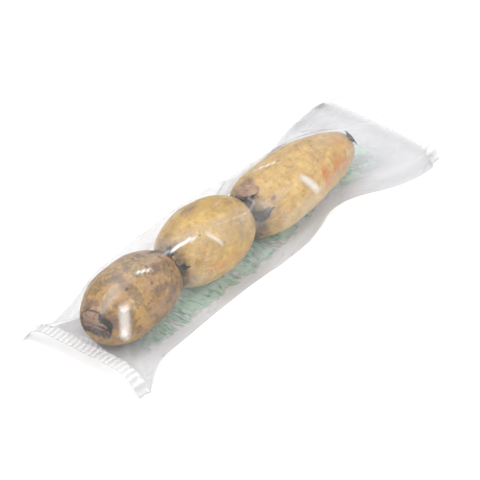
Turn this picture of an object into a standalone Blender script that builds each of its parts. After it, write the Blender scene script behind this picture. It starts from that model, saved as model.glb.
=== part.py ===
"""A lotus root of three joined internodes, sealed in a flat clear bag.

The bag lies along X with its middle over the origin, and rests on the plane z = 0.
The rhizome is one solid. The bag is a tube of film, sealed flat across both ends. Its clear upper
face and its printed lower face are two solids, which meet along the tube's sides.
"""

import math

import bmesh
import bpy
from mathutils import Vector

# Rhizome: its internodes in turn, with their lengths from node to node, their radius at the belly,
# how full their shoulders are, how far the belly leans to the far end, and its sideways offset
INTERNODES = (
    {"length": 0.096, "belly": 0.0325, "fullness": 0.50, "lean": 1.05, "offset": 0.0005},
    {"length": 0.094, "belly": 0.0333, "fullness": 0.52, "lean": 0.95, "offset": -0.0010},
    {"length": 0.137, "belly": 0.0298, "fullness": 0.55, "lean": 0.62, "offset": -0.0030},
)

# The near cut stub, the two nodes and the far cut stub: radius, sideways offset, and how far their
# middle lies below the middle of the fattest internode
NECKS = (
    {"radius": 0.0125, "offset": 0.0000, "drop": 0.0050},
    {"radius": 0.0140, "offset": 0.0010, "drop": 0.0010},
    {"radius": 0.0135, "offset": -0.0020, "drop": 0.0020},
    {"radius": 0.0090, "offset": -0.0050, "drop": 0.0115},
)
NECK_LENGTH = 0.005
COLLAR_SWELL = 0.0012

# Bag: room for the rhizome inside it, its end seals, and how high their middles are lifted
GIRTH_SLACK = 0.0381
NEAR_ROOM = 0.008
FAR_FLAP = 0.047
SEAL_WIDTH = 0.012
NEAR_SEAL_RISE = 0.020
FAR_SEAL_RISE = 0.017
SEAL_DROOP = 0.002
ARCH_POWER = 2.5
FILM_THICKNESS = 0.0004
CONTACT_GAP = 0.0003
DRAPE_CLEARANCE = 0.002
LEAST_OPENING = 0.0001

# How finely the shapes are divided
INTERNODE_STEPS = 18
RHIZOME_BEVEL_RESOLUTION = 12
FILM_STEP = 0.0070
FILM_ACROSS = 20
SETTLING_ROUNDS = 40

# What follows from these
FATTEST = max(shape["belly"] for shape in INTERNODES)
RHIZOME_LENGTH = sum(shape["length"] for shape in INTERNODES)
BAG_WIDTH = math.pi * (FATTEST + DRAPE_CLEARANCE) + GIRTH_SLACK / 2
BAG_LENGTH = 2 * SEAL_WIDTH + NEAR_ROOM + RHIZOME_LENGTH + FAR_FLAP
NEAR_CUT_X = SEAL_WIDTH + NEAR_ROOM - BAG_LENGTH / 2
FLOOR = FILM_THICKNESS / 2
BED = FILM_THICKNESS + CONTACT_GAP


def clear_scene():
    for old in list(bpy.data.objects):
        bpy.data.objects.remove(old, do_unlink=True)


def material(name, colour, roughness, alpha=1.0):
    made = bpy.data.materials.new(name)
    made.use_nodes = True
    shader = made.node_tree.nodes["Principled BSDF"]
    shader.inputs["Base Color"].default_value = (*colour, 1.0)
    shader.inputs["Roughness"].default_value = roughness
    shader.inputs["Metallic"].default_value = 0.0
    shader.inputs["Alpha"].default_value = alpha
    return made


def mixed(a, b, share):
    return a + (b - a) * share


# ---------------------------------------------------------------- rhizome


def internode_stations(start, end, shape):
    """Centre and radius along one internode, from its start node to its end node.

    The stations crowd towards both necks, where the shoulders turn fastest.
    """
    stations = []
    length = end[0] - start[0]
    for step in range(INTERNODE_STEPS + 1):
        u = (1 - math.cos(math.pi * step / INTERNODE_STEPS)) / 2
        rise = math.sin(math.pi * u ** shape["lean"]) if 0 < u < 1 else 0.0
        neck = mixed(start[3], end[3], u)
        radius = neck + (shape["belly"] - neck) * rise ** shape["fullness"]
        y = mixed(start[1], end[1], u) + shape["offset"] * rise
        z = mixed(mixed(start[2], end[2], u), shape["belly"] + BED, rise)
        stations.append((start[0] + length * u, y, z, radius))
    return stations


def neck_stations():
    """The cut stubs and the nodes between them, as x, y, z and radius."""
    x = NEAR_CUT_X
    stations = []
    for neck, shape in zip(NECKS, (*INTERNODES, None)):
        stations.append((x, neck["offset"], BED + FATTEST - neck["drop"], neck["radius"]))
        if shape:
            x += shape["length"]
    return stations


def beside(node, side):
    """The point where a neck passes into the shoulder on one side, -1 near or +1 far."""
    x, y, z, radius = node
    return (x + side * NECK_LENGTH / 2, y, z, radius)


def rhizome_stations():
    """The whole rhizome: internodes joined by short necks, each with a swollen collar."""
    necks = neck_stations()
    starts = [necks[0]] + [beside(node, 1) for node in necks[1:-1]]
    ends = [beside(node, -1) for node in necks[1:-1]] + [necks[-1]]
    stations = []
    for start, end, shape, node in zip(starts, ends, INTERNODES, necks[1:]):
        stations += internode_stations(start, end, shape)
        if node is not necks[-1]:
            x, y, z, radius = node
            stations.append((x, y, z, radius + COLLAR_SWELL))
    return stations


def make_rhizome(stations, collection):
    """A round tube along the rhizome's axis, whose radius swells and narrows along it."""
    curve = bpy.data.curves.new("rhizome", "CURVE")
    curve.dimensions = "3D"
    curve.bevel_depth = 1.0
    curve.bevel_resolution = RHIZOME_BEVEL_RESOLUTION
    curve.use_fill_caps = True
    spline = curve.splines.new("POLY")
    spline.points.add(len(stations) - 1)
    for point, (x, y, z, radius) in zip(spline.points, stations):
        point.co = (x, y, z, 1.0)
        point.radius = radius
    rhizome = bpy.data.objects.new("rhizome", curve)
    collection.objects.link(rhizome)
    curve.materials.append(material("rhizome_skin", (0.72, 0.50, 0.24), 0.5))
    return rhizome


# ---------------------------------------------------------------- bag


def taut_line(points, side):
    """The line of a string pulled taut over (side 1) or under (side -1) points in order of x."""
    kept = []
    for x, z in points:
        while len(kept) >= 2:
            (ax, az), (bx, bz) = kept[-2:]
            if side * ((bx - ax) * (z - az) - (bz - az) * (x - ax)) < 0:
                break
            kept.pop()
        kept.append((x, z))
    return kept


def height_on(line, x):
    for (ax, az), (bx, bz) in zip(line, line[1:]):
        if x <= bx:
            return mixed(az, bz, (x - ax) / (bx - ax))
    return line[-1][1]


def axis_y(stations, x):
    """The rhizome's sideways place at x, held constant past its ends."""
    x = min(max(x, stations[0][0]), stations[-1][0])
    return height_on([(s[0], s[1]) for s in stations], x)


def rhizome_outline(stations, side):
    """The rhizome's top (side 1) or bottom (side -1) outline from the side, a clearance outside it.

    Each ring of the tube stands square to the axis, so its highest point leans with the axis.
    """
    axis = [Vector((x, z)) for x, _, z, _ in stations]
    outline = []
    for i, centre in enumerate(axis):
        along = (axis[min(i + 1, len(axis) - 1)] - axis[max(i - 1, 0)]).normalized()
        outline.append(centre + side * Vector((-along.y, along.x)) * (stations[i][3] + DRAPE_CLEARANCE))
    outline.insert(0, outline[0] - Vector((DRAPE_CLEARANCE, 0)))
    outline.append(outline[-1] + Vector((DRAPE_CLEARANCE, 0)))
    return sorted((point.x, point.y) for point in outline)


def film_lines(stations):
    """How high the front film passes over the rhizome's middle line, and the back film under it."""
    seal_inner = BAG_LENGTH / 2 - SEAL_WIDTH
    near = [(-BAG_LENGTH / 2, NEAR_SEAL_RISE - SEAL_DROOP), (-seal_inner, NEAR_SEAL_RISE)]
    far = [(seal_inner, FAR_SEAL_RISE), (BAG_LENGTH / 2, FAR_SEAL_RISE)]
    over = rhizome_outline(stations, 1)
    under = rhizome_outline(stations, -1)
    front = near[:1] + taut_line(near[1:] + over + far[:1], 1) + far[1:]
    back = near[:1] + taut_line(near[1:] + under + far[:1], -1) + far[1:]
    return front, back


def drawn_section(centre_y, low, high, half, shares):
    """Points of the front film drawn tight from one side of the bag to the other, over a round.

    The round touches the heights low and high. The film leaves each side straight, meets the round
    at a tangent, and follows it over the top.
    """
    radius = (high - low) / 2
    centre = Vector((centre_y, (high + low) / 2))
    edges = (Vector((half, FLOOR + BED)), Vector((-half, FLOOR + BED)))
    angles = []
    for edge, turn in zip(edges, (1, -1)):
        away = edge - centre
        lift = math.acos(min(radius / away.length, 1.0))
        angles.append(math.atan2(away.y, away.x) + turn * lift)
    start_angle, end_angle = angles
    if end_angle < start_angle:
        end_angle += 2 * math.pi
    touches = [centre + radius * Vector((math.cos(a), math.sin(a))) for a in (start_angle, end_angle)]
    first_run = (touches[0] - edges[0]).length
    arc = (end_angle - start_angle) * radius
    last_run = (edges[1] - touches[1]).length
    total = first_run + arc + last_run
    points = []
    for share in shares:
        gone = share * total
        if gone < first_run:
            points.append(edges[0].lerp(touches[0], gone / first_run))
        elif gone < first_run + arc:
            angle = mixed(start_angle, end_angle, (gone - first_run) / arc)
            points.append(centre + radius * Vector((math.cos(angle), math.sin(angle))))
        else:
            points.append(touches[1].lerp(edges[1], (gone - first_run - arc) / last_run))
    return points


def film_stations(stations):
    """Places along the bag where a film's section is set, closer together at seals and cut ends."""
    half = BAG_LENGTH / 2
    outline = rhizome_outline(stations, 1)
    marks = [-half, SEAL_WIDTH - half, outline[0][0], outline[-1][0], half - SEAL_WIDTH, half]
    places = []
    for start, end in zip(marks, marks[1:]):
        steps = max(1, round((end - start) / FILM_STEP))
        places += [mixed(start, end, step / steps) for step in range(steps)]
    return places + [half]


def half_width(opened):
    """How far the bag's sides lie from its middle line where it is opened to a height.

    The tube's girth stays the same, so it is drawn in as it opens. Each round puts the width that
    the last one gave back into the girth of a tube lying flat on a floor, with a round inside it.
    """
    radius = opened / 2
    half = BAG_WIDTH / 2
    for _ in range(SETTLING_ROUNDS):
        half = BAG_WIDTH / 2 - radius * math.atan2(radius, half)
    return half


def back_height(low, across):
    """How high the back film lies: arched where it is lifted to a seal, flat under the bellies."""
    return FLOOR + (low - FLOOR) * (1 - min(abs(across), 1.0) ** ARCH_POWER)


def film_surfaces(stations):
    """The middle surfaces of the front film and the back film, each as rows of points.

    The front film is drawn over the rhizome from the bag's two sides. Where that would take it
    into the back film, as it does at the seals, it lies on the back film.
    """
    over, under = film_lines(stations)
    shares = [j / FILM_ACROSS for j in range(FILM_ACROSS + 1)]
    front_rows, back_rows = [], []
    for x in film_stations(stations):
        high, low = height_on(over, x), max(height_on(under, x), FLOOR)
        opened = max(high - low, LEAST_OPENING)
        half = half_width(opened)
        front_row, back_row = [], []
        for y, z in drawn_section(axis_y(stations, x), low, low + opened, half, shares):
            lying = back_height(low, y / half)
            back_row.append(Vector((x, y, lying)))
            front_row.append(Vector((x, y, max(z, lying + BED))))
        front_rows.append(front_row)
        back_rows.append(back_row)
    return front_rows, back_rows


def make_film(name, rows, skin, collection):
    """A thin sheet: the grid's vertices are laid on the surface and thickened both ways."""
    mesh = bpy.data.meshes.new(name)
    grid = bmesh.new()
    bmesh.ops.create_grid(grid, x_segments=len(rows) - 1, y_segments=len(rows[0]) - 1, size=1.0)
    for vertex in grid.verts:
        i = round((vertex.co.x + 1) / 2 * (len(rows) - 1))
        j = round((1 - vertex.co.y) / 2 * (len(rows[0]) - 1))
        vertex.co = rows[i][j]
    bmesh.ops.recalc_face_normals(grid, faces=grid.faces)
    grid.to_mesh(mesh)
    grid.free()
    film = bpy.data.objects.new(name, mesh)
    collection.objects.link(film)
    wall = film.modifiers.new("film thickness", "SOLIDIFY")
    wall.thickness = FILM_THICKNESS
    wall.offset = 0.0
    mesh.materials.append(skin)
    mesh.shade_smooth()
    return film


def main():
    clear_scene()
    collection = bpy.data.collections.new("bagged lotus root")
    bpy.context.scene.collection.children.link(collection)
    stations = rhizome_stations()
    make_rhizome(stations, collection)
    clear = material("clear_film", (0.92, 0.93, 0.94), 0.15, alpha=0.3)
    printed = material("printed_film", (0.62, 0.80, 0.72), 0.2, alpha=0.5)
    front_rows, back_rows = film_surfaces(stations)
    make_film("front_film", front_rows, clear, collection)
    make_film("back_film", back_rows, printed, collection)


main()
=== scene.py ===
# %% [markdown]
# # A lotus root in a sealed film bag
# The frame gives three solids: the rhizome and the two faces of its bag. They have the right size
# and place, but they are plain. This script gives each of them a finished surface: a lumpy, stained
# root with its torn sheaths and trimmed rootlets, and a thin glossy film that is drawn over it.

# %% Load the frame
import math
import random

import bmesh
import bpy
import numpy as np
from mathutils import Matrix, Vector, noise
from mathutils.bvhtree import BVHTree


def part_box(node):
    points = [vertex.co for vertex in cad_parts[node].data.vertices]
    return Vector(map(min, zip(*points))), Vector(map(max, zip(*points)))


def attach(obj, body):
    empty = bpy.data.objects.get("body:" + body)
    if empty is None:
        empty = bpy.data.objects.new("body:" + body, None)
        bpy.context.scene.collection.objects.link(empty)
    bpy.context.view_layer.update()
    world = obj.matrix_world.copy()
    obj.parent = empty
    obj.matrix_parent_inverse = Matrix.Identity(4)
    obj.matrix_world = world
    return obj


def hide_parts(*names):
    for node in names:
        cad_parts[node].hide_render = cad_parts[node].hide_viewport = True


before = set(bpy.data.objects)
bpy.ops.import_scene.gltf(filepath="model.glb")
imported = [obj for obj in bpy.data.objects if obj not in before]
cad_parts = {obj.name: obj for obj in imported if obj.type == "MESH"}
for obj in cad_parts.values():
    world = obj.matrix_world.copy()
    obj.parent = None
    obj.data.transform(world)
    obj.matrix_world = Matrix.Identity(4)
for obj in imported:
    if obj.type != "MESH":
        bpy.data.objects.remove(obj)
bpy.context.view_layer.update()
MM = 0.001
random.seed(7)

root_low, root_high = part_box("rhizome")
bag_low = Vector(map(min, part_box("front_film")[0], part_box("back_film")[0]))
bag_high = Vector(map(max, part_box("front_film")[1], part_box("back_film")[1]))
print("rhizome", [round(v, 4) for v in (*root_low, *root_high)])

# %% [markdown]
# A piece is finished in a bmesh and then becomes an object. Its object stays at the origin, unturned,
# so its place is in its mesh, as it is for the frame's own nodes.


# %% Make an object from a bmesh
def finished(mesh_edit, name, materials, smooth=True):
    mesh = bpy.data.meshes.new(name)
    mesh_edit.to_mesh(mesh)
    mesh_edit.free()
    for skin in materials:
        mesh.materials.append(skin)
    if smooth:
        mesh.shade_smooth()
    made = bpy.data.objects.new(name, mesh)
    bpy.context.scene.collection.objects.link(made)
    return made


def merged_copy(node):
    """The frame's mesh is loose triangles, so a copy is welded before anything is done to it."""
    copy = bmesh.new()
    copy.from_mesh(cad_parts[node].data)
    bmesh.ops.remove_doubles(copy, verts=copy.verts, dist=0.01 * MM)
    return copy


def applied(thing):
    """The object's mesh with its modifiers carried out."""
    graph = bpy.context.evaluated_depsgraph_get()
    return bpy.data.meshes.new_from_object(thing.evaluated_get(graph))


# %% [markdown]
# ## The root's skin, as geometry
# The frame's root has long facets, so it can't hold any detail. A voxel remesh gives an even mesh
# of small faces over the same shape, and a few rounds of smoothing take its steps away. Subdividing
# the facets would also work, but it would crowd the points around the necks.

# %% Remesh the root evenly
ROOT_VOXEL = 1.15 * MM
SMOOTHING_ROUNDS = 3
even = finished(merged_copy("rhizome"), "rhizome_even", [])
remesh = even.modifiers.new("even", "REMESH")
remesh.mode = "VOXEL"
remesh.voxel_size = ROOT_VOXEL
root_mesh = applied(even)
bpy.data.objects.remove(even, do_unlink=True)

root_edit = bmesh.new()
root_edit.from_mesh(root_mesh)
for _ in range(SMOOTHING_ROUNDS):
    bmesh.ops.smooth_vert(root_edit, verts=root_edit.verts, factor=0.5, use_axis_x=True, use_axis_y=True,
                          use_axis_z=True)
root_edit.normal_update()
print("root points", len(root_edit.verts))

# %% [markdown]
# ## The rhizome's own axis
# Marks on a root run along it and around it. So each feature is placed by how far along the root it
# lies, and at what angle around its axis. The axis and the radius are read from the frame's solid,
# in slices, and the necks are where the radius is least.

# %% Read the axis, the radius and the necks
SLICE = 2.0 * MM
SLICE_REACH = 1.3 * MM
NECK_SLICES = 8
NECKS_APART = 20 * MM
root_points = np.array([v.co for v in root_edit.verts])
slice_x = np.arange(root_low.x + SLICE, root_high.x - SLICE, SLICE)
axis_y, axis_z, axis_r = [], [], []
for x in slice_x:
    near = root_points[np.abs(root_points[:, 0] - x) < SLICE_REACH]
    low, high = near.min(axis=0), near.max(axis=0)
    axis_y.append((low[1] + high[1]) / 2)
    axis_z.append((low[2] + high[2]) / 2)
    axis_r.append((high[1] - low[1]) / 2)
axis_y, axis_z, axis_r = np.array(axis_y), np.array(axis_z), np.array(axis_r)

inner = [i for i in range(NECK_SLICES, len(slice_x) - NECK_SLICES)
         if axis_r[i] == axis_r[i - NECK_SLICES : i + NECK_SLICES + 1].min()]
necks = sorted({round(float(slice_x[i]) / MM) * MM for i in inner})
necks = [x for k, x in enumerate(necks) if k == 0 or x - necks[k - 1] > NECKS_APART]
ENDS = [root_low.x, *necks, root_high.x]
print("necks at", [round(x / MM) for x in necks], "mm")


def axis_at(x):
    return Vector((x, np.interp(x, slice_x, axis_y), np.interp(x, slice_x, axis_z)))


def radius_at(x):
    return float(np.interp(x, slice_x, axis_r))


def on_root(x, degrees, lift=0.0):
    """A point on the root's plain surface. 90 degrees is the top, and 0 is the -Y side."""
    turn = math.radians(degrees)
    out = Vector((0, -math.cos(turn), math.sin(turn)))
    return axis_at(x) + out * (radius_at(x) + lift)


# %% [markdown]
# ## Marks and lumps
# A lotus root isn't a smooth sausage. Each internode has broad lumps, fine ridges along it, pits, and
# a creased shoulder where it pulls in to a neck. The points are moved along their normals, as a
# sculptor would with a brush.
# The marks are named here once, by place, so that the mesh and the paint agree about them. A bruise
# is a sunken patch. A stain only changes the colour. Each has a place along the root in millimetres,
# an angle around it, a length, a width and a strength.

# %% Where the marks are
BRUISES = (
    (-118, 62, 7, 5, 1.0),
    (-179, 30, 5, 9, 1.0),
    (-178, 120, 4, 10, 0.8),
    (-112, 20, 12, 4, 0.7),
    (-128, 34, 11, 4, 0.9),
    (-104, 62, 12, 5, 0.8),
    (-150, 96, 9, 5, 0.6),
    (-44, 116, 13, 5, 0.75),
    (-22, 40, 3, 4, 0.6),
    (-14, 78, 4, 3, 0.6),
    (-30, 22, 4, 6, 0.5),
    (18, 112, 10, 7, 0.9),
    (24, 48, 3, 2, 1.0),
    (55, -30, 6, 2, 1.0),
    (55, 96, 2, 2, 0.8),
    (84, 105, 2, 2, 0.7),
    (92, 84, 2, 2, 0.7),
)
RUST = (
    (84, 16, 6, 14, 1.0),
    (90, 2, 7, 9, 0.8),
    (104, 26, 10, 8, 1.0),
    (114, 12, 8, 9, 0.8),
    (120, 62, 8, 9, 0.4),
    (-60, 2, 40, 6, 0.6),
    (-98, 84, 8, 12, 0.5),
)


def blob(co, marks, ragged=0.45):
    """How strongly a point is covered by a list of marks, with ragged edges."""
    total = 0.0
    wander = noise.noise(co * 170) * ragged + noise.noise(co * 420) * ragged * 0.5
    for along, degrees, length, width, strength in marks:
        middle = on_root(along * MM, degrees)
        away = co - middle
        if away.length > 2.2 * max(length, width) * MM:
            continue
        lengthwise = away.x / (length * MM)
        crosswise = math.sqrt(away.y**2 + away.z**2) / (width * MM)
        reach = math.sqrt(lengthwise**2 + crosswise**2) + wander
        total = max(total, strength * (1 - min(max((reach - 0.45) / 0.7, 0.0), 1.0)))
    return total


# %% Sculpt the root
def along_root(x):
    """Which internode x lies in, and how far along it, from 0 to 1."""
    for k in range(3):
        if x <= ENDS[k + 1] or k == 2:
            return k, min(max((x - ENDS[k]) / (ENDS[k + 1] - ENDS[k]), 0.0), 1.0)


RIDGES = (0.40 * MM, 0.28 * MM, 0.85 * MM)
LUMPS = (1.9 * MM, 1.5 * MM, 1.7 * MM)
GRAIN = 0.16 * MM
PLEATS = 0.9 * MM
BRUISE_DEPTH = 0.55 * MM
CUT_EDGE = 3.4 * MM
CREASE_BEFORE = 8 * MM
CREASES_PAST = (6 * MM, 11 * MM)


def creased(x):
    """How strongly the skin is creased beside a neck. It reaches further past the second neck."""
    strongest = 0.0
    for neck, past in zip(necks, CREASES_PAST):
        reach = past if x > neck else CREASE_BEFORE
        strongest = max(strongest, math.exp(-(((x - neck) / reach) ** 2)))
    return strongest


bruise_mask, rust_mask, neck_mask, stub_mask = [], [], [], []
for vertex in root_edit.verts:
    co = vertex.co.copy()
    middle = axis_at(co.x)
    turn = math.atan2(co.z - middle.z, -(co.y - middle.y))
    part, share = along_root(co.x)
    belly = math.sin(math.pi * share)
    round_trip = Vector((math.cos(turn), math.sin(turn), 0)) * 1.6
    lump = noise.noise(co * 34 + Vector((part * 7, 0, 3)))
    ridge = noise.noise(round_trip * 4.5 + Vector((0, 0, co.x * 9 + part * 5)))
    fine_ridge = noise.noise(round_trip * 13 + Vector((0, 0, co.x * 22 + part * 5)))
    grain = noise.noise(co * 300) * 0.5 + noise.noise(co * 700) * 0.25
    creases = creased(co.x)
    pleat = noise.noise(round_trip * 9 + Vector((part, 0, co.x * 40)))
    bruise = blob(co, BRUISES)
    rust = blob(co, RUST, ragged=0.6)
    push = LUMPS[part] * lump * belly
    push += RIDGES[part] * (ridge + fine_ridge * 0.45) * (0.35 + 0.65 * belly)
    push += GRAIN * grain
    push += PLEATS * pleat * creases
    push -= BRUISE_DEPTH * bruise
    vertex.co = co + vertex.normal * push
    bruise_mask.append(bruise)
    rust_mask.append(rust)
    neck_mask.append(creases)
    to_end = min(co.x - root_low.x, root_high.x - co.x) + 0.9 * MM * noise.noise(co * 240)
    stub_mask.append(max(0.0, 1 - to_end / CUT_EDGE))
print("most creased", round(max(neck_mask), 2), "most bruised", round(max(bruise_mask), 2))

# %% [markdown]
# The two ends were cut with a knife through the neck. A cut is slightly hollow where the tissue dries
# and shrinks, and the air tubes that were cut through show as a ring of small dents.

# %% Hollow the cut ends
HOLLOW = 2.2 * MM
TUBE_DENT = 1.6 * MM
TUBES = 8
CUT_REACH = 4.5 * MM
for vertex in root_edit.verts:
    for end_x, inward in ((root_low.x, 1), (root_high.x, -1)):
        depth = (vertex.co.x - end_x) * inward
        middle = axis_at(end_x + inward * 2 * MM)
        wide = radius_at(end_x + inward * 3 * MM)
        reach = math.hypot(vertex.co.y - middle.y, vertex.co.z - middle.z) / wide
        if depth < CUT_REACH and reach < 1.15:
            hollow = HOLLOW * (1 - min(reach, 1.0) ** 3)
            turn = math.atan2(vertex.co.z - middle.z, vertex.co.y - middle.y)
            holes = max(0.0, math.cos(turn * TUBES)) ** 2 * math.exp(-(((reach - 0.6) / 0.16) ** 2))
            torn = noise.noise(vertex.co * 500) * 0.5 * MM
            facing = max(0.0, -vertex.normal.x * inward)
            vertex.co.x += inward * facing * (hollow + TUBE_DENT * holes + torn)

root_edit.normal_update()

# %% Make it an object, with its marks as attributes
root = finished(root_edit, "lotus_rhizome", [])
masks = {"bruise": bruise_mask, "rust": rust_mask, "neck": neck_mask, "stub": stub_mask}
for name, values in masks.items():
    layer = root.data.attributes.new(name, "FLOAT", "POINT")
    layer.data.foreach_set("value", values)


# %% [markdown]
# ## The film, as cloth
# The bag is one tube of film, printed on its lower face and sealed flat across both ends. A real bag
# gets its folds because a flat tube has to go round a thick root: the film over the top is taut, and
# the film along the sides has length to spare. Cloth simulation finds those folds by itself, if it is
# told the flat size. So the tube starts already draped, and keeps the flat shape as its rest shape.

# %% Sizes of the tube of film, and the lines it is pulled along
FLAT_WIDTH = 130 * MM
SEAL = 12 * MM
COLUMNS = 44
ROWS = 126
FILM = 0.22 * MM
CLEAR = 2.2 * MM
NEAR_RISE = 20 * MM
FAR_RISE = 17 * MM
LEAST_OPENED = 0.2 * MM


def outline(side):
    """The root's top (1) or bottom (-1) line from the side, as points of x and z, in order."""
    line = []
    for x in np.linspace(root_low.x, root_high.x, 110):
        near = root_points[np.abs(root_points[:, 0] - x) < 2.0 * MM]
        line.append((float(x), float(side * (side * near[:, 2]).max()) + side * CLEAR))
    return [(line[0][0] - CLEAR, line[0][1])] + line + [(line[-1][0] + CLEAR, line[-1][1])]


def taut(points, side):
    """The line of a string pulled tight over (1) or under (-1) the points."""
    kept = []
    for x, z in points:
        while len(kept) >= 2:
            (ax, az), (bx, bz) = kept[-2:]
            if side * ((bx - ax) * (z - az) - (bz - az) * (x - ax)) < 0:
                break
            kept.pop()
        kept.append((x, z))
    return kept


seal_near, seal_far = bag_low.x + SEAL, bag_high.x - SEAL
over = taut([(seal_near, NEAR_RISE)] + outline(1) + [(seal_far, FAR_RISE)], 1)
under = taut([(seal_near, NEAR_RISE)] + outline(-1) + [(seal_far, FAR_RISE)], -1)
print("points over", len(over), "under", len(under))


# %% How wide and how high the bag is
def on_line(line, x):
    return float(np.interp(x, [p[0] for p in line], [p[1] for p in line]))


def between_seals(x):
    return min(max(x, seal_near), seal_far)


def film_heights(x):
    """The heights of the lower and of the upper film, along the middle of the bag."""
    low = max(on_line(under, between_seals(x)), FILM)
    return low, max(on_line(over, between_seals(x)), low + LEAST_OPENED)


def half_width(opened):
    """The tube keeps its girth, so it is drawn in where it is opened."""
    half = FLAT_WIDTH / 2
    for _ in range(30):
        half = FLAT_WIDTH / 2 - opened / 2 * math.atan2(opened / 2, half)
    return half


TUCK = 19 * MM
TUCK_MIDDLE = 104 * MM
TUCK_REACH = 42 * MM


def tuck_at(x):
    """Beside the far internode some film on the -Y side is caught under the root, so less of it shows."""
    return TUCK * math.exp(-(((x - TUCK_MIDDLE) / TUCK_REACH) ** 2))


def over_the_top(middle, low, high, half, tuck, share):
    """A point of the upper film: from one side of the bag, over a round, to the other side."""
    radius = (high - low) / 2
    centre = Vector((middle, (high + low) / 2))
    sides = (Vector((half, FILM)), Vector((tuck - half, FILM)))
    turns = []
    for side, sign in zip(sides, (1, -1)):
        away = side - centre
        turns.append(math.atan2(away.y, away.x) + sign * math.acos(min(radius / away.length, 1.0)))
    if turns[1] < turns[0]:
        turns[1] += 2 * math.pi
    touch = [centre + radius * Vector((math.cos(turn), math.sin(turn))) for turn in turns]
    runs = [(touch[0] - sides[0]).length, (turns[1] - turns[0]) * radius, (sides[1] - touch[1]).length]
    gone = share * sum(runs)
    if gone < runs[0]:
        return sides[0].lerp(touch[0], gone / runs[0])
    if gone < runs[0] + runs[1]:
        turn = turns[0] + (gone - runs[0]) / radius
        return centre + radius * Vector((math.cos(turn), math.sin(turn)))
    return touch[1].lerp(sides[1], (gone - runs[0] - runs[1]) / max(runs[2], 1e-9))


# %% [markdown]
# The tube is cut longer than it lies, because its top goes up over the root. Its length is taken on a
# line at half the height of the top, so the top is pulled tight and the sides have length to spare.

# %% The length the tube is cut to
half_x = np.linspace(bag_low.x, bag_high.x, 600)
half_z = [0.5 * on_line(over, between_seals(x)) for x in half_x]
half_run = np.concatenate([[0], np.cumsum(np.hypot(np.diff(half_x), np.diff(half_z)))])
FLAT_LENGTH = float(half_run[-1])
print("flat length", round(FLAT_LENGTH / MM, 1), "mm")
print("as it lies", round((bag_high.x - bag_low.x) / MM, 1), "mm")


def flat_along(x):
    return float(np.interp(x, half_x, half_run)) - FLAT_LENGTH / 2


# %% Lay the tube out, draped and flat
SEAL_INSET = 3.5 * MM
MOUTH = 35 * MM
LAYER_GAP = 0.3 * MM


def film_point(x, share, upper):
    """Where a point of the tube starts, draped, and where it is when the tube lies flat."""
    inside = between_seals(x)
    low, high = film_heights(x)
    half = half_width(high - low)
    lower_width = 2 * half
    if inside != x:
        half -= SEAL_INSET
    across = half * (1 - 2 * share)
    to_seal = min(inside - seal_near, seal_far - inside) / MOUTH
    steepness = 2.5 + 4.5 * max(0.0, 1 - to_seal)
    arch = low * (1 - min(abs(across / half), 1.0) ** steepness)
    tuck = tuck_at(x)
    if across < 0:
        across *= (half - tuck) / half
    flat_x = flat_along(x)
    if not upper:
        draped = Vector((x, across, max(arch, FILM)))
        from_middle = lower_width / 2 * (1 - 2 * share)
        flat = Vector((flat_x, from_middle, 0))
    else:
        middle = float(np.interp(inside, slice_x, axis_y))
        point = over_the_top(middle, low, high, half, tuck, share)
        draped = Vector((x, point.x, max(point.y, arch + 0.35 * MM)))
        upper_width = 2 * FLAT_WIDTH - lower_width
        from_top = upper_width / 2 * (1 - 2 * share)
        flat = Vector((flat_x, from_top, LAYER_GAP))
        if abs(from_top) > FLAT_WIDTH / 2:
            flat = Vector((flat_x, math.copysign(FLAT_WIDTH - abs(from_top), from_top), 0))
    return draped, flat


def film_grid(upper):
    """A grid sheet whose points are laid on one face of the tube."""
    sheet = bmesh.new()
    bmesh.ops.create_grid(sheet, x_segments=ROWS, y_segments=COLUMNS, size=0.5)
    flat_layer = sheet.verts.layers.float_vector.new("flat")
    row_layer = sheet.verts.layers.float.new("row")
    share_layer = sheet.verts.layers.float.new("share")
    for vertex in sheet.verts:
        x = bag_low.x + (vertex.co.x + 0.5) * (bag_high.x - bag_low.x)
        share = 0.5 - vertex.co.y
        vertex[row_layer] = x
        vertex[share_layer] = share
        vertex.co, vertex[flat_layer] = film_point(x, share, upper)
    return sheet


upper_sheet, lower_sheet = film_grid(True), film_grid(False)
print("upper points", len(upper_sheet.verts), "lower points", len(lower_sheet.verts))

# %% [markdown]
# The two faces are joined into one tube before the simulation: along the sides they share their
# edge, and at each end the two layers become the one welded layer of the seal. The seals are pinned,
# because their stiffness holds them up. The film that the root's weight traps is pinned too, and so
# is the edge that is tucked in beside the far internode.


# %% Join the faces into one sealed tube
def joined_tube(upper, lower):
    tube = bmesh.new()
    for sheet in (upper, lower):
        part = bpy.data.meshes.new("part")
        sheet.to_mesh(part)
        sheet.free()
        tube.from_mesh(part)
        bpy.data.meshes.remove(part)
    tube.verts.index_update()
    tube.verts.ensure_lookup_table()
    half = len(tube.verts) // 2
    row = tube.verts.layers.float["row"]
    share = tube.verts.layers.float["share"]
    face_kind = tube.faces.layers.int.new("kind")
    in_seal = [not seal_near + 0.01 * MM < v[row] < seal_far - 0.01 * MM for v in tube.verts]
    spare = []
    for face in tube.faces:
        lower_face = face.verts[0].index >= half
        sealed = all(in_seal[v.index] for v in face.verts)
        face[face_kind] = 2 if sealed else int(lower_face)
        if sealed and lower_face:
            spare.append(face)
    pairs = {}
    for index in range(half):
        keep, drop = tube.verts[index], tube.verts[index + half]
        if in_seal[index] or min(keep[share], 1 - keep[share]) < 0.001:
            pairs[drop] = keep
    bmesh.ops.delete(tube, geom=spare, context="FACES_ONLY")
    bmesh.ops.weld_verts(tube, targetmap=pairs)
    loose = [v for v in tube.verts if not v.link_faces]
    bmesh.ops.delete(tube, geom=loose, context="VERTS")
    return tube


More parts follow.
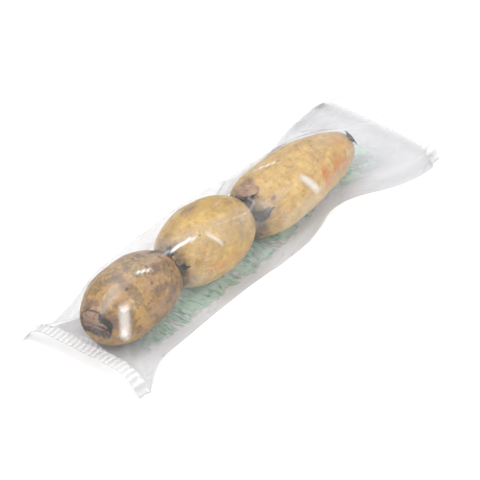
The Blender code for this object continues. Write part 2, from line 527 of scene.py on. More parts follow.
tube = joined_tube(upper_sheet, lower_sheet)
film_tube = finished(tube, "film_tube", [])
print("film points", len(film_tube.data.vertices))

# %% Pin the seals and the trapped film, and keep the flat shape
drape = film_tube.data
rows = np.empty(len(drape.vertices))
flats = np.empty(3 * len(drape.vertices))
drape.attributes["row"].data.foreach_get("value", rows)
drape.attributes["flat"].data.foreach_get("vector", flats)
sealed = (rows < seal_near + 0.01 * MM) | (rows > seal_far - 0.01 * MM)
shares = np.empty(len(drape.vertices))
drape.attributes["share"].data.foreach_get("value", shares)
trapped = [v.co.z < 0.4 * MM and (abs(v.co.y) < 24 * MM or (share > 0.97 and tuck_at(x) > 3 * MM))
           for v, share, x in zip(drape.vertices, shares, rows)]
held = np.flatnonzero(sealed | np.array(trapped)).tolist()
pinned = film_tube.vertex_groups.new(name="pinned")
pinned.add(held, 1.0, "REPLACE")
film_tube.shape_key_add(name="draped")
film_tube.shape_key_add(name="flat").data.foreach_set("co", flats)
print("held points", len(held))

# %% [markdown]
# Two plain colliders stand in for the world: a light copy of the sculpted root, and a floor. Cloth
# keeps a small distance to both. The simulation runs to its last frame, and its result is applied,
# so that nothing is left to simulate.


# %% The colliders
COLLIDER_GAP = 1.0 * MM


def collider(mesh, name, gap):
    body = bpy.data.objects.new(name, mesh)
    bpy.context.scene.collection.objects.link(body)
    body.modifiers.new("collision", "COLLISION")
    body.collision.thickness_outer = gap
    body.collision.cloth_friction = 12
    return body


thinned = root.modifiers.new("thinned", "DECIMATE")
thinned.ratio = 0.12
root_body = collider(applied(root), "root_collider", COLLIDER_GAP)
root.modifiers.remove(thinned)
floor_edit = bmesh.new()
bmesh.ops.create_grid(floor_edit, x_segments=4, y_segments=4, size=0.4)
bmesh.ops.translate(floor_edit, verts=floor_edit.verts, vec=(0, 0, -1.6 * MM))
floor_mesh = bpy.data.meshes.new("floor_collider")
floor_edit.to_mesh(floor_mesh)
floor_edit.free()
floor_body = collider(floor_mesh, "floor_collider", COLLIDER_GAP)
print("root collider faces", len(root_body.data.polygons))

# %% Drape the film
FRAMES = 32
cloth = film_tube.modifiers.new("film", "CLOTH")
settings = cloth.settings
settings.quality = 7
settings.mass = 0.12
settings.tension_stiffness = settings.compression_stiffness = 45
settings.shear_stiffness = 30
settings.bending_stiffness = 5.0
settings.tension_damping = settings.compression_damping = 12
settings.shear_damping = 12
settings.bending_damping = 0.8
settings.air_damping = 3
settings.effector_weights.gravity = 0.12
settings.vertex_group_mass = "pinned"
settings.pin_stiffness = 1.0
settings.rest_shape_key = film_tube.data.shape_keys.key_blocks["flat"]
cloth.collision_settings.use_collision = True
cloth.collision_settings.distance_min = COLLIDER_GAP
cloth.collision_settings.collision_quality = 2
cloth.collision_settings.use_self_collision = False
cloth.point_cache.frame_start = 1
cloth.point_cache.frame_end = FRAMES
for step in range(1, FRAMES + 1):
    bpy.context.scene.frame_set(step)
draped = applied(film_tube)
bpy.context.scene.frame_set(1)
for helper in (root_body, floor_body, film_tube):
    bpy.data.objects.remove(helper, do_unlink=True)
heights = [v.co.z for v in draped.vertices]
print("draped film from", round(min(heights) / MM, 1), "to", round(max(heights) / MM, 1), "mm high")

# %% [markdown]
# The simulated tube is parted again into the two faces of the bag. Each keeps the welded band at both
# ends. Film also has small sharp creases that the cloth's points are too far apart to show. So each
# face is subdivided once, and then the upper one is pressed into facets that meet in creases: the
# cells of a Voronoi pattern do this, because its edges are sharp. The pattern lies on the flat film,
# and it is fainter where the film is tight over the root. The painted highlights, white streaks where
# the film is drawn over a bump, are lines in space that touch it, each with a start and an end in
# millimetres, half a width and a strength. They are painted into an attribute, which the finish reads.
# A thin wall comes last, so that each face is a closed body.


# %% Painted highlights: white streaks where the upper film is drawn sharply over a bump
PAINTED_HIGHLIGHTS = (
    ((53, -27, 57), (66, -41, 39), 4.6, 0.5),
    ((-168, -18, 56), (-180, -30, 32), 6.0, 0.42),
    ((-109, -11, 65), (-70, -17, 66), 1.5, 1.0),
    ((-62, -18, 65), (-54, -33, 53), 2.4, 0.35),
    ((-142, -8, 67), (-126, -15, 65), 1.5, 0.7),
    ((116, 6, 49), (140, 12, 35), 2.6, 0.35),
    ((20, 4, 62), (62, -8, 64), 1.4, 0.6),
)


# How much painted highlight a film point gets from the nearest streak, from 0 to 1.
def painted_highlight(co):
    total = 0.0
    for start, end, wide, strength in PAINTED_HIGHLIGHTS:
        start, end = Vector(start) * MM, Vector(end) * MM
        run = end - start
        share = min(max((co - start).dot(run) / run.length_squared, 0.0), 1.0)
        away = (co - start - run * share).length / (wide * MM)
        total = max(total, strength * max(0.0, 1 - away**2) * (1 - (2 * share - 1) ** 4))
    return total


# %% Press small facets into the upper face of the bag
LARGE_FACET = 36 * MM
SMALL_FACET = 17 * MM
LARGE_CREASE = 1.2 * MM
SMALL_CREASE = 0.4 * MM
TIGHT_HALF_WIDTH = 36 * MM
SEAL_FADE = 8 * MM


def facet_edge(flat_place, cell, turn):
    """0 in the middle of a facet, and 1 on the crease where two of them meet."""
    long_way = math.cos(turn) * flat_place.x + math.sin(turn) * flat_place.y
    cross_way = math.cos(turn) * flat_place.y - math.sin(turn) * flat_place.x
    reach = noise.voronoi(Vector((long_way * 0.5, cross_way, 0)) / cell)[0]
    return 1 - min((reach[1] - reach[0]) * 1.3, 1.0)


def press_facets(edit):
    edit.normal_update()
    flat_layer = edit.verts.layers.float_vector["flat"]
    row_layer = edit.verts.layers.float["row"]
    highlight_streak_layer = edit.verts.layers.float.new("highlight_streak")
    for vertex in edit.verts:
        x = vertex[row_layer]
        # Each point keeps how much painted highlight it gets.
        vertex[highlight_streak_layer] = painted_highlight(vertex.co)
        flat_place = vertex[flat_layer].copy()
        large = facet_edge(flat_place, LARGE_FACET, 0.7)
        small = facet_edge(flat_place, SMALL_FACET, -0.5)
        over_root = 0.0
        if root_low.x < x < root_high.x:
            over_root = max(0.0, 1 - abs(vertex.co.y) / TIGHT_HALF_WIDTH)
        loose = 1 - 0.75 * min(over_root * 2.5, 1.0)
        if x > root_high.x:
            loose *= 0.35
        past_near = min(max((x - seal_near) / SEAL_FADE, 0), 1)
        before_far = min(max((seal_far - x) / SEAL_FADE, 0), 1)
        height = LARGE_CREASE * large**1.5 + SMALL_CREASE * small**1.5
        vertex.co += vertex.normal * height * loose * past_near * before_far


# %% Part the tube into the upper and the lower film
def film_face(kind, name, skin, sink):
    face_edit = bmesh.new()
    face_edit.from_mesh(draped)
    layer = face_edit.faces.layers.int["kind"]
    other = [face for face in face_edit.faces if face[layer] not in (kind, 2)]
    bmesh.ops.delete(face_edit, geom=other, context="FACES")
    for vertex in face_edit.verts:
        vertex.co.z = max(vertex.co.z, FILM)
        if all(face[layer] == 2 for face in vertex.link_faces):
            vertex.co.z += sink
    bmesh.ops.recalc_face_normals(face_edit, faces=face_edit.faces)
    upward = sum(face.normal.z * face.calc_area() for face in face_edit.faces)
    if upward < 0:
        bmesh.ops.reverse_faces(face_edit, faces=face_edit.faces)
    coarse = finished(face_edit, name + "_coarse", [])
    finer = coarse.modifiers.new("finer", "SUBSURF")
    finer.levels = finer.render_levels = 1
    fine_mesh = applied(coarse)
    bpy.data.objects.remove(coarse, do_unlink=True)
    fine_edit = bmesh.new()
    fine_edit.from_mesh(fine_mesh)
    if kind == 0:
        press_facets(fine_edit)
    made = finished(fine_edit, name, [skin])
    wall = made.modifiers.new("wall", "SOLIDIFY")
    wall.thickness = FILM
    wall.offset = 0
    print(name, len(made.data.vertices), "points")
    return made


# %% [markdown]
# ## Finishes
# Materials are built from nodes. A small helper adds a node, sets its values and links its inputs,
# so that each finish reads from top to bottom.


# %% A helper for shader nodes
def node(tree, kind, inputs=None, **values):
    made = tree.nodes.new(kind)
    for name, value in values.items():
        setattr(made, name, value)
    for name, value in (inputs or {}).items():
        socket = made.inputs[name]
        if isinstance(value, bpy.types.NodeSocket):
            tree.links.new(value, socket)
        else:
            socket.default_value = value
    return made


def ramp(tree, fac, stops):
    """A colour ramp. Each stop is a place from 0 to 1, and a grey or a colour."""
    made = node(tree, "ShaderNodeValToRGB", {"Fac": fac})
    band = made.color_ramp
    while len(band.elements) < len(stops):
        band.elements.new(1.0)
    for element, (place, colour) in zip(band.elements, stops):
        element.position = place
        element.color = (*colour, 1) if hasattr(colour, "__len__") else (colour, colour, colour, 1)
    return made.outputs["Color"]


def blended(tree, fac, first, second):
    made = tree.nodes.new("ShaderNodeMix")
    made.data_type = "RGBA"
    for index, value in ((0, fac), (6, first), (7, second)):
        if isinstance(value, bpy.types.NodeSocket):
            tree.links.new(value, made.inputs[index])
        else:
            made.inputs[index].default_value = value if index == 0 else (*value, 1)
    return made.outputs[2]


# %% Helpers for numbers, noise and bumps
def number(tree, operation, first, second=0.0, clamp=False):
    made = node(tree, "ShaderNodeMath", {0: first, 1: second}, operation=operation, use_clamp=clamp)
    return made.outputs[0]


def times(tree, first, second, clamp=False):
    return number(tree, "MULTIPLY", first, second, clamp)


def plus(tree, first, second, clamp=False):
    return number(tree, "ADD", first, second, clamp)


def minus(tree, first, second, clamp=False):
    return number(tree, "SUBTRACT", first, second, clamp)


def between(tree, value, zero_at, one_at):
    """Rises from 0 to 1 from the one value to the other, and stays there past them."""
    made = node(tree, "ShaderNodeMapRange", {"Value": value, "From Min": zero_at, "From Max": one_at})
    return made.outputs[0]


def stretched(tree, place, turn, scale):
    made = node(tree, "ShaderNodeMapping", {"Vector": place, "Rotation": (0, 0, turn), "Scale": scale})
    return made.outputs[0]


def laid_over(tree, colour, mask, strength, paint):
    return blended(tree, times(tree, mask, strength), colour, paint)


def bumped(tree, shader, height, strength, distance):
    bump = node(tree, "ShaderNodeBump", {"Strength": strength, "Distance": distance, "Height": height})
    tree.links.new(bump.outputs[0], shader.inputs["Normal"])


def noise_at(tree, place, scale, detail=3.0, roughness=0.5, distortion=0.0):
    made = node(tree, "ShaderNodeTexNoise", {"Vector": place, "Scale": scale, "Detail": detail,
                                            "Roughness": roughness, "Distortion": distortion})
    return made.outputs["Fac"]


def new_finish(name):
    made = bpy.data.materials.new(name)
    made.use_nodes = True
    return made, made.node_tree, made.node_tree.nodes["Principled BSDF"]


# %% [markdown]
# Specks show on the skin, on the bud and on the torn sheaths, so they are a group of their own.
# It scatters small dark dots of uneven size, and its density can be painted by a mask.


# %% Specks, as a shared group
def speck_group():
    group = bpy.data.node_groups.new("specks", "ShaderNodeTree")
    group.interface.new_socket(name="Place", in_out="INPUT", socket_type="NodeSocketVector")
    group.interface.new_socket(name="Scale", in_out="INPUT", socket_type="NodeSocketFloat")
    group.interface.new_socket(name="Amount", in_out="INPUT", socket_type="NodeSocketFloat")
    group.interface.new_socket(name="Mask", in_out="OUTPUT", socket_type="NodeSocketFloat")
    start, end = group.nodes.new("NodeGroupInput"), group.nodes.new("NodeGroupOutput")
    cells = node(group, "ShaderNodeTexVoronoi", {"Vector": start.outputs["Place"],
                                                "Scale": start.outputs["Scale"]})
    chance = node(group, "ShaderNodeSeparateColor", {0: cells.outputs["Color"]}).outputs[0]
    kept = number(group, "LESS_THAN", chance, start.outputs["Amount"])
    size = times(group, plus(group, chance, 0.35), 0.42)
    dot = minus(group, size, cells.outputs["Distance"])
    soft = times(group, dot, 12.0, clamp=True)
    group.links.new(times(group, soft, kept), end.inputs["Mask"])
    return group


SPECKS = speck_group()


def specks(tree, place, scale, amount):
    inputs = {"Place": place, "Scale": scale, "Amount": amount}
    return node(tree, "ShaderNodeGroup", inputs, node_tree=SPECKS).outputs["Mask"]


# %% [markdown]
# The skin changes along the root. The near internode is the oldest: brown and olive, and heavily
# marked. The middle one is golden, with paler shoulders. The far one is young and pale, with rust
# where iron in the mud has stained it. A ramp along X gives these base colours, and noise, the
# painted marks and the specks are laid over it in turn. Both tables below go by millimetres along X.


# %% Colours and age along the root
SKIN_ALONG = (
    (-184, (0.34, 0.18, 0.09)),
    (-174, (0.48, 0.25, 0.04)),
    (-150, (0.41, 0.21, 0.025)),
    (-120, (0.28, 0.14, 0.022)),
    (-97, (0.24, 0.12, 0.03)),
    (-88, (0.12, 0.07, 0.04)),
    (-80, (0.60, 0.40, 0.16)),
    (-50, (0.60, 0.38, 0.055)),
    (-25, (0.59, 0.37, 0.06)),
    (-4, (0.58, 0.39, 0.15)),
    (7, (0.16, 0.11, 0.075)),
    (17, (0.56, 0.36, 0.13)),
    (45, (0.73, 0.49, 0.18)),
    (95, (0.72, 0.48, 0.18)),
    (135, (0.64, 0.39, 0.16)),
    (144, (0.36, 0.23, 0.14)),
)
AGE_ALONG = ((-100, 1.0), (-86, 0.55), (-70, 0.24), (-10, 0.32), (10, 0.45), (30, 0.18), (130, 0.24))
AGE_AT_ENDS = (0.75, 0.55)


def share_along(x):
    return (x * MM - root_low.x) / (root_high.x - root_low.x)


print("skin colours along the root", len(SKIN_ALONG))


# %% Mottling and dirt
def mottled(tree, place, base, age):
    """Broad pale and dusky patches, fine mottling and fibres, and the grit and stains of an old skin."""
    broad = ramp(tree, noise_at(tree, place, 38, 4), ((0.42, 0.0), (0.60, 1.0)))
    colour = laid_over(tree, base, broad, 0.45, (0.74, 0.51, 0.18))
    dusky = ramp(tree, noise_at(tree, place, 62, 5, 0.6, 0.5), ((0.47, 0.0), (0.62, 1.0)))
    colour = laid_over(tree, colour, dusky, 0.45, (0.42, 0.26, 0.085))
    mottle = ramp(tree, noise_at(tree, place, 170, 6, 0.7, 0.4), ((0.45, 0.0), (0.62, 1.0)))
    colour = laid_over(tree, colour, mottle, 0.45, (0.42, 0.22, 0.055))
    fibre_place = stretched(tree, place, 0, (0.16, 1.0, 1.0))
    fibres = ramp(tree, noise_at(tree, fibre_place, 260, 3), ((0.45, 0.0), (0.70, 1.0)))
    colour = laid_over(tree, colour, fibres, 0.24, (0.50, 0.30, 0.12))
    olive = ramp(tree, noise_at(tree, place, 95, 6, 0.7), ((0.47, 0.0), (0.58, 1.0)))
    grit = ramp(tree, noise_at(tree, place, 420, 4, 0.7), ((0.44, 0.0), (0.58, 1.0)))
    colour = laid_over(tree, colour, times(tree, grit, age), 0.55, (0.16, 0.085, 0.03))
    colour = laid_over(tree, colour, times(tree, olive, age), 0.78, (0.105, 0.06, 0.02))
    pinkish = ramp(tree, noise_at(tree, place, 52, 3, 0.5, 1.0), ((0.52, 0.0), (0.66, 1.0)))
    colour = laid_over(tree, colour, times(tree, pinkish, age), 0.55, (0.34, 0.20, 0.12))
    return colour, mottle, fibres


# %% The painted marks and the cut ends
def painted(tree, name):
    return node(tree, "ShaderNodeAttribute", attribute_name=name).outputs["Fac"]


def marked(tree, place, colour, mottle):
    """Rust, bruises, necks darkened by grime and painted shade, and the pith and dark rim of both cut ends.
    """
    broken = ramp(tree, noise_at(tree, place, 190, 5, 0.6), ((0.30, 0.25), (0.62, 1.0)))
    colour = laid_over(tree, colour, painted(tree, "rust"), broken, (0.56, 0.19, 0.025))
    colour = laid_over(tree, colour, painted(tree, "bruise"), 0.80, (0.15, 0.085, 0.075))
    # Darker necks: partly grime, and partly painted shade in the crease where each neck pulls in.
    neck_grime_and_shade = ramp(tree, noise_at(tree, place, 120, 5, 0.65), ((0.28, 0.0), (0.60, 1.0)))
    shaded = times(tree, number(tree, "POWER", painted(tree, "neck"), 1.6), neck_grime_and_shade)
    colour = laid_over(tree, colour, shaded, 0.9, (0.075, 0.05, 0.04))
    stub = painted(tree, "stub")
    cut_face = ramp(tree, stub, ((0.0, 0.0), (0.12, 0.0), (0.35, 1.0)))
    pith = blended(tree, mottle, (0.46, 0.28, 0.19), (0.24, 0.12, 0.08))
    colour = laid_over(tree, colour, cut_face, 0.85, pith)
    rim = ramp(tree, plus(tree, stub, times(tree, mottle, 0.12)),
               ((0.0, 0.0), (0.10, 0.0), (0.26, 1.0), (0.46, 1.0), (0.62, 0.0)))
    return laid_over(tree, colour, rim, 0.9, (0.035, 0.022, 0.02))


# %% The skin of the root
def root_skin():
    made, tree, shader = new_finish("rhizome_skin")
    place = node(tree, "ShaderNodeTexCoord").outputs["Object"]
    split = node(tree, "ShaderNodeSeparateXYZ", {0: place})
    drift = times(tree, minus(tree, noise_at(tree, place, 55), 0.5), 0.022)
    along = between(tree, plus(tree, split.outputs["X"], drift), root_low.x, root_high.x)
    base = ramp(tree, along, [(share_along(x), colour) for x, colour in SKIN_ALONG])
    ages = [(share_along(x), age) for x, age in AGE_ALONG]
    age = ramp(tree, along, [(0.0, AGE_AT_ENDS[0]), *ages, (1.0, AGE_AT_ENDS[1])])

    colour, mottle, fibres = mottled(tree, place, base, age)
    colour = marked(tree, place, colour, mottle)
    small = specks(tree, place, 380.0, times(tree, age, 0.60))
    large = specks(tree, place, 140.0, times(tree, age, 0.42))
    dots = number(tree, "MAXIMUM", small, large)
    colour = laid_over(tree, colour, dots, 0.85, (0.055, 0.03, 0.015))
    lone = specks(tree, place, 120.0, 0.07)
    colour = laid_over(tree, colour, lone, 0.9, (0.06, 0.035, 0.02))
    tree.links.new(colour, shader.inputs["Base Color"])

    rough = ramp(tree, mottle, ((0.0, 0.42), (1.0, 0.62)))
    tree.links.new(rough, shader.inputs["Roughness"])
    shader.inputs["Subsurface Weight"].default_value = 0.08
    shader.inputs["Subsurface Radius"].default_value = (0.004, 0.002, 0.001)
    shader.inputs["Subsurface Scale"].default_value = 0.6
    height = plus(tree, times(tree, fibres, 0.5), times(tree, mottle, 0.6))
    bumped(tree, shader, minus(tree, height, times(tree, dots, 0.9)), 0.45, 0.3 * MM)
    return made


root.data.materials.append(root_skin())
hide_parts("rhizome")
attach(root, "root")

# %% [markdown]
# Each node of the rhizome once carried a thin papery sheath and a ring of rootlets. The sheath rots
# to a few dark torn blades that cling to the neck, and the rootlets are trimmed to short stubs. Both
# are thin things on top of the skin, so they are pieces of their own and not bumps in the root.


# %% A torn sheath, laid on the root
root_faces = [face.vertices for face in root.data.polygons]
root_tree = BVHTree.FromPolygons([v.co for v in root.data.vertices], root_faces)


def on_skin(x, degrees, lift):
    """The point of the sculpted skin at this place along and around the root, lifted off it a little."""
    turn = math.radians(degrees)
    out = Vector((0, -math.cos(turn), math.sin(turn)))
    hit, normal, _, _ = root_tree.ray_cast(axis_at(x) + out * 60 * MM, -out)
    return hit + normal * lift if hit else on_root(x, degrees, lift)


SHEATH = 0.35 * MM


def torn_sheath(name, skin, start_x, reach, from_degrees, to_degrees, seed):
    """A strip that starts in the neck at start_x, and reaches along the root to a ragged point."""
    strip = bmesh.new()
    bmesh.ops.create_grid(strip, x_segments=14, y_segments=26, size=0.5)
    for vertex in strip.verts:
        along, across = vertex.co.x + 0.5, vertex.co.y + 0.5
        tip = 1 - abs(2 * across - 1) ** 1.4
        ragged = 0.75 + 0.5 * noise.noise(Vector((across * 6, seed, 0)))
        x = start_x + reach * along * tip * ragged
        narrowing = 1 - 0.35 * along
        spread = (across - 0.5) * (to_degrees - from_degrees) * narrowing
        degrees = (from_degrees + to_degrees) / 2 + spread
        curl = 1.1 * MM * along**2 * (1 + noise.noise(Vector((across * 4, seed, 5))))
        vertex.co = on_skin(x, degrees, 0.45 * MM + curl)
    bmesh.ops.recalc_face_normals(strip, faces=strip.faces)
    made = finished(strip, name, [skin])
    wall = made.modifiers.new("wall", "SOLIDIFY")
    wall.thickness = SHEATH
    wall.offset = 0
    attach(made, "root")
    return made


def dark_finish(name, dark, light, scale):
    """Rotten plant fibre: dark, dull and streaked."""
    made, tree, shader = new_finish(name)
    place = node(tree, "ShaderNodeTexCoord").outputs["Object"]
    streaks = ramp(tree, noise_at(tree, place, scale, 4, 0.6, 0.6), ((0.40, 0.0), (0.68, 1.0)))
    dots = specks(tree, place, 500.0, 0.25)
    colour = blended(tree, streaks, dark, light)
    tree.links.new(blended(tree, dots, colour, (0.01, 0.008, 0.006)), shader.inputs["Base Color"])
    tree.links.new(ramp(tree, streaks, ((0.0, 0.5), (1.0, 0.8))), shader.inputs["Roughness"])
    bumped(tree, shader, streaks, 0.5, 0.2 * MM)
    return made


# %% Lay the sheaths on the necks and the cut ends
sheath_skin = dark_finish("sheath", (0.018, 0.014, 0.012), (0.085, 0.06, 0.045), 260)
first_node, second_node = necks
torn_sheath("sheath_first_blade", sheath_skin, first_node - 4 * MM, -25 * MM, 84, 102, 1)
torn_sheath("sheath_first_top", sheath_skin, first_node - 3 * MM, 11 * MM, 60, 125, 2)
torn_sheath("sheath_first_right", sheath_skin, first_node - 3 * MM, 10 * MM, 0, 50, 3)
torn_sheath("sheath_second_top", sheath_skin, second_node - 3 * MM, 17 * MM, 62, 112, 4)
torn_sheath("sheath_second_left", sheath_skin, second_node - 3 * MM, 15 * MM, 112, 165, 5)
torn_sheath("sheath_second_right", sheath_skin, second_node - 3 * MM, 19 * MM, 8, 62, 6)
torn_sheath("sheath_near_end", sheath_skin, root_low.x + 2 * MM, 5 * MM, -12, 72, 7)
torn_sheath("sheath_far_end", sheath_skin, root_high.x - 0.5 * MM, -9 * MM, 15, 100, 8)

# %% [markdown]
# The side bud at the second node never grew out. It is a smooth pointed lobe, pressed flat against
# the shoulder of the far internode.


# %% The bud at the second node
def pressed_bud(name, skin, x, degrees, length, width, height):
    lobe = bmesh.new()
    bmesh.ops.create_uvsphere(lobe, u_segments=28, v_segments=18, radius=1.0)
    seat = on_skin(x, degrees, 0)
    out = (seat - axis_at(x)).normalized()
    side = Vector((1, 0, 0)).cross(out).normalized()
    for vertex in lobe.verts:
        co = vertex.co.copy()
        pointed = 1 - 0.45 * max(co.x, 0) ** 2
        wave = 1 + 0.12 * noise.noise(co * 2.2)
        vertex.co = (seat + Vector((1, 0, 0)) * co.x * length + side * co.y * width * pointed * wave
                     + out * co.z * height * pointed * wave)
    bmesh.ops.recalc_face_normals(lobe, faces=lobe.faces)
    made = finished(lobe, name, [skin])
    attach(made, "root")
    return made


bud_skin = dark_finish("bud", (0.22, 0.12, 0.08), (0.46, 0.29, 0.18), 120)
pressed_bud("side_bud", bud_skin, second_node + 10 * MM, 97, 13 * MM, 9 * MM, 2.6 * MM)


# %% The trimmed rootlets, a ring at each node
def rootlet_ring(edit, x, count):
    for k in range(count):
        degrees = 360 * k / count + random.uniform(-9, 9)
        place_x = x + random.uniform(-3.5, 3.5) * MM
        foot = on_skin(place_x, degrees, -0.6 * MM)
        out = (foot - axis_at(place_x)).normalized()
        tilt = (out + Vector((random.uniform(-0.5, 0.5), random.uniform(-0.3, 0.3), 0))).normalized()
        tall = random.uniform(1.4, 3.4) * MM
        wide = random.uniform(0.45, 0.95) * MM
        turn = tilt.to_track_quat("Z", "X").to_matrix().to_4x4()
        turn.translation = foot + tilt * tall / 2
        bmesh.ops.create_cone(edit, cap_ends=True, segments=9, radius1=wide, radius2=wide * 0.55, depth=tall,
                              matrix=turn)


ROOTLETS = 20
rootlets = bmesh.new()
for x in necks:
    rootlet_ring(rootlets, x, ROOTLETS)
rootlet_stubs = finished(rootlets, "rootlet_stubs", [sheath_skin])
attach(rootlet_stubs, "root")
print("rootlet points", len(rootlet_stubs.data.vertices))

# %% [markdown]
# Clear film is hard to see at all. What shows is a thin grey veil, stronger where the film is seen
# edge on, and the gloss: broad soft reflections, broken up by the folds and creases of its mesh. So
# the material mixes a see-through shader with a glossy one, mostly by how much the film faces away.
# The crease lines and the streaks are painted highlights in a whitish colour, and the pressed
# ribs of the seals are whitish too.
# The print is on the lower film only. It reads the flat place of each point, so that it bends with
# the film. It is a plain pattern of green brush strokes, like leaves, with no words.


# %% Creases, seals and print of the film
def line_where_half(tree, value, sharpness):
    """A thin line where a smooth noise crosses its middle value."""
    away = number(tree, "ABSOLUTE", minus(tree, value, 0.5))
    return minus(tree, 1.0, times(tree, away, sharpness), clamp=True)


def crease_highlight_lines(tree, red, light, blue):
    """Two sets of faint painted highlight lines. Each set is broken off where the other one shows."""
    first = times(tree, line_where_half(tree, red, 75), between(tree, light, 0.50, 0.62))
    second = times(tree, line_where_half(tree, blue, 75), between(tree, light, 0.48, 0.38))
    return times(tree, number(tree, "MAXIMUM", first, second), 0.22)


def leaf_print(tree, spread):
    """Where the ink of the brushed leaves is, and its colour."""
    flat = node(tree, "ShaderNodeSeparateXYZ", {0: spread})
    side = number(tree, "ABSOLUTE", flat.outputs["Y"])
    ragged = times(tree, minus(tree, noise_at(tree, spread, 60, 4), 0.5), 0.02)
    inside = between(tree, plus(tree, side, ragged), 32 * MM, 26 * MM)
    along = plus(tree, flat.outputs["X"], ragged)
    ahead = between(tree, along, 178 * MM, 160 * MM)
    behind = between(tree, along, -160 * MM, -120 * MM)
    brushed = stretched(tree, spread, 0.7, (1.0, 0.34, 1.0))
    leaves = ramp(tree, noise_at(tree, brushed, 70, 4, 0.6, 1.3), ((0.38, 0.0), (0.47, 1.0)))
    strokes = ramp(tree, noise_at(tree, brushed, 150, 3, 0.6, 2.0), ((0.52, 0.0), (0.62, 1.0)))
    window = times(tree, times(tree, inside, ahead), behind)
    green = blended(tree, strokes, (0.66, 0.90, 0.76), (0.18, 0.46, 0.36))
    return times(tree, window, leaves), green


def sealed_ribs(tree, spread):
    """The welded bands at both ends, and the ribs that the sealing jaws press into them."""
    row = node(tree, "ShaderNodeAttribute", attribute_name="row").outputs["Fac"]
    seal = plus(tree, number(tree, "LESS_THAN", row, seal_near), number(tree, "GREATER_THAN", row, seal_far))
    waves = {"Vector": spread, "Scale": 62.0, "Distortion": 1.2, "Detail": 2.0, "Detail Scale": 3.0}
    ribs = node(tree, "ShaderNodeTexWave", waves, bands_direction="Y").outputs["Fac"]
    return seal, times(tree, seal, ramp(tree, ribs, ((0.25, 0.05), (0.8, 1.0))))


# %% The film's material
def film_finish(name, printed):
    made, tree, shader = new_finish(name)
    spread = node(tree, "ShaderNodeAttribute", attribute_name="flat").outputs["Vector"]
    laid = {"Vector": stretched(tree, spread, -0.5, (0.16, 1.0, 1.0)), "Scale": 66.0, "Detail": 0.4,
            "Roughness": 0.3}
    chances = node(tree, "ShaderNodeTexNoise", laid).outputs["Color"]
    red, light, blue = node(tree, "ShaderNodeSeparateColor", {0: chances}).outputs
    # The crease lines are painted highlights: whitish lines where light would catch on the film's creases.
    crease = crease_highlight_lines(tree, red, light, blue)
    # The upper film also gets the painted highlight streaks that its points carry.
    if not printed:
        crease = number(tree, "MAXIMUM", crease, times(tree, painted(tree, "highlight_streak"), 1.6), clamp=True)
    seal, ribs = sealed_ribs(tree, spread)

    facing = node(tree, "ShaderNodeLayerWeight", {"Blend": 0.35}).outputs["Facing"]
    cover = ramp(tree, facing, ((0.0, 0.03), (0.35, 0.04), (0.60, 0.10), (1.0, 0.55)))
    patches = ramp(tree, blue, ((0.50, 0.0), (0.60, 1.0)))
    cover = plus(tree, cover, times(tree, patches, 0.05))
    cover = plus(tree, cover, times(tree, seal, 0.10))
    cover = plus(tree, cover, times(tree, crease, 0.50))
    cover = plus(tree, cover, times(tree, ribs, 0.04), clamp=True)
    # Whitish serves the pressed ribs of the seals, which are real, and the painted highlights.
    whitish = number(tree, "MAXIMUM", ribs, times(tree, crease, 0.9))
    colour = blended(tree, whitish, (0.68, 0.68, 0.685), (0.97, 0.96, 0.94))
    if printed:
        ink, green = leaf_print(tree, spread)
        colour = blended(tree, ink, colour, green)
        cover = plus(tree, cover, times(tree, ink, 0.55), clamp=True)
    tree.links.new(colour, shader.inputs["Base Color"])
    shader.inputs["Roughness"].default_value = 0.16
    shader.inputs["IOR"].default_value = 2.3
    bumped(tree, shader, plus(tree, red, times(tree, crease, 0.05)), 0.5, 2.5 * MM)
    clear = node(tree, "ShaderNodeBsdfTransparent", {"Color": (0.955, 0.955, 0.958, 1)})
    mixed = node(tree, "ShaderNodeMixShader", {0: cover, 1: clear.outputs[0], 2: shader.outputs[0]})
    output = next(n for n in tree.nodes if n.type == "OUTPUT_MATERIAL")
    tree.links.new(mixed.outputs[0], output.inputs["Surface"])
    return made


# %% Finish the two films
upper_film = film_face(0, "front_film_sheet", film_finish("clear_film", printed=False), 0.0)
lower_film = film_face(1, "back_film_sheet", film_finish("printed_film", printed=True), -LAYER_GAP)
both = ((upper_film, "front_film", "clear_film"), (lower_film, "back_film", "printed_film"))
for film, stands_for, slot in both:
    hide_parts(stands_for)
    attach(film, "root")

for x in np.linspace(bag_low.x, bag_high.x, 400):
    low, high = film_heights(x)

# %% [markdown]
# ## Floor, light and camera
# A white floor, a pale sky that is darker near the horizon, and two large soft lights, so that the
# film gets broad reflections and its folds have an edge. The camera has a long lens and stands far
# off, so the far end of the bag is hardly smaller than the near end.


# %% The floor and the lights
def flat_finish(name, colour, roughness):
    made, _, shader = new_finish(name)
    shader.inputs["Base Color"].default_value = (*colour, 1)
    shader.inputs["Roughness"].default_value = roughness
    return made


floor_edit = bmesh.new()
bmesh.ops.create_grid(floor_edit, x_segments=1, y_segments=1, size=12.0)
floor = finished(floor_edit, "floor", [flat_finish("floor", (0.93, 0.93, 0.93), 0.9)])


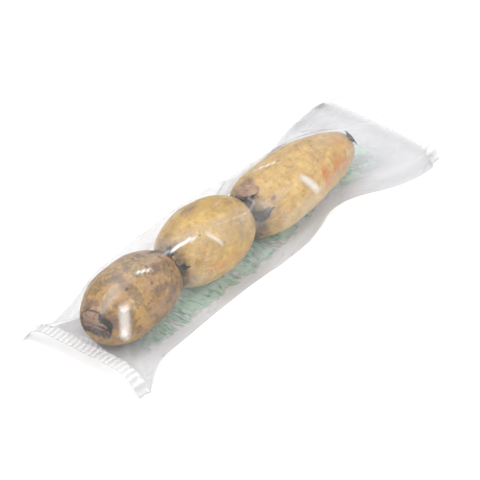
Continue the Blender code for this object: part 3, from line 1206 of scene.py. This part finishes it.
def studio_world(strength):
    world = bpy.data.worlds.new("studio")
    bpy.context.scene.world = world
    world.use_nodes = True
    tree = world.node_tree
    way = node(tree, "ShaderNodeTexCoord").outputs["Generated"]
    up = node(tree, "ShaderNodeSeparateXYZ", {0: way}).outputs["Z"]
    sky = ramp(tree, up, ((0.0, 0.35), (0.35, 0.60), (0.75, 1.0)))
    tree.links.new(sky, tree.nodes["Background"].inputs["Color"])
    tree.nodes["Background"].inputs["Strength"].default_value = strength


def soft_light(name, place, aim, width, height, power):
    lamp = bpy.data.lights.new(name, "AREA")
    lamp.shape = "RECTANGLE"
    lamp.size, lamp.size_y = width, height
    lamp.energy = power
    holder = bpy.data.objects.new(name, lamp)
    bpy.context.scene.collection.objects.link(holder)
    holder.location = place
    holder.rotation_mode = "QUATERNION"
    holder.rotation_quaternion = (Vector(aim) - Vector(place)).to_track_quat("-Z", "Y")


studio_world(0.95)
soft_light("key", (-0.2, -1.3, 1.3), (0, 0, 0.03), 1.1, 0.8, 15)
soft_light("top", (-0.5, 0.1, 1.7), (0, 0, 0.03), 1.3, 1.3, 22)

# %% The camera
AZIMUTH, ELEVATION = math.radians(-51.8), math.radians(38.6)
LENS = 600
DISTANCE = 6.667
AIM = Vector((0.0065, 0.003, 0))
SHIFT_RIGHT = 3.3 * MM
SHIFT_UP = 2.5 * MM
back = Vector((math.sin(AZIMUTH) * math.cos(ELEVATION), -math.cos(AZIMUTH) * math.cos(ELEVATION),
               math.sin(ELEVATION)))
camera = bpy.data.objects.new("camera", bpy.data.cameras.new("camera"))
bpy.context.scene.collection.objects.link(camera)
camera.data.lens = LENS
camera.data.clip_end = 20
camera.rotation_mode = "QUATERNION"
camera.rotation_quaternion = (-back).to_track_quat("-Z", "Y")
turned = camera.rotation_quaternion.to_matrix()
aim = AIM + turned.col[0] * SHIFT_RIGHT + turned.col[1] * SHIFT_UP
camera.location = aim + back * DISTANCE
bpy.context.scene.camera = camera
bpy.context.scene.view_settings.view_transform = "Standard"
